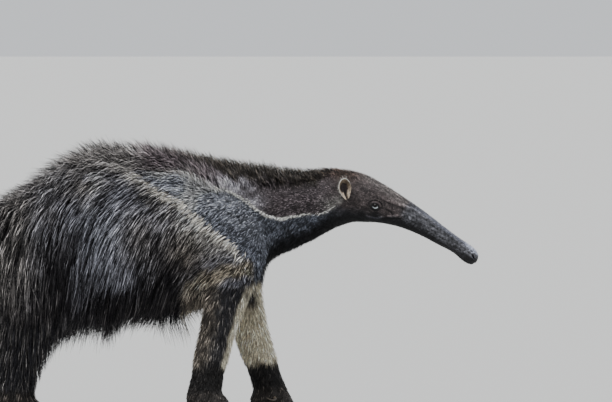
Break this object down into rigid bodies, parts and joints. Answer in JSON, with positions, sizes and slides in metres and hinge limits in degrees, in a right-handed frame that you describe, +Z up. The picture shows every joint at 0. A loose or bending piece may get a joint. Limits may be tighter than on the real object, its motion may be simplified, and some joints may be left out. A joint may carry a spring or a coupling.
{
  "type": "giant anteater model",
  "caption": "Walking giant anteater with a long tapering snout, low-held head, arched shaggy back, plumed tail and folded foreclaws, as a still life-size model.",
  "frame": {"origin": "on the floor under the middle of the animal's bounding box", "axes": "+X towards the snout, +Y towards the animal's left side, +Z up"},
  "size_m": [1.9095, 0.3005, 0.5891],
  "materials": {
    "coat": "coarse blackish-grey salt-and-pepper fur",
    "pale_coat": "creamy white coarse fur",
    "face": "short flat brownish-grey fur, nearly bare towards the nose",
    "eye": "wet dark eye",
    "claw": "dark worn horn"
  },
  "bodies": {
    "root": {"head": "face", "ear_left": "face", "ear_right": "face", "eye_left": "eye", "eye_right": "eye", "neck": "coat", "trunk": "coat", "tail": "coat", "foreleg_left": "pale_coat", "foreleg_right": "pale_coat", "hindleg_left": "coat", "hindleg_right": "coat", "forefoot_left": "coat", "forefoot_right": "coat", "hindfoot_left": "coat", "hindfoot_right": "coat", "claw_fore_left_1": "claw", "claw_fore_left_2": "claw", "claw_fore_left_3": "claw", "claw_fore_left_4": "claw", "claw_fore_right_1": "claw", "claw_fore_right_2": "claw", "claw_fore_right_3": "claw", "claw_fore_right_4": "claw", "claw_hind_left_1": "claw", "claw_hind_left_2": "claw", "claw_hind_left_3": "claw", "claw_hind_left_4": "claw", "claw_hind_left_5": "claw", "claw_hind_right_1": "claw", "claw_hind_right_2": "claw", "claw_hind_right_3": "claw", "claw_hind_right_4": "claw", "claw_hind_right_5": "claw"}
  },
  "joints": []
}
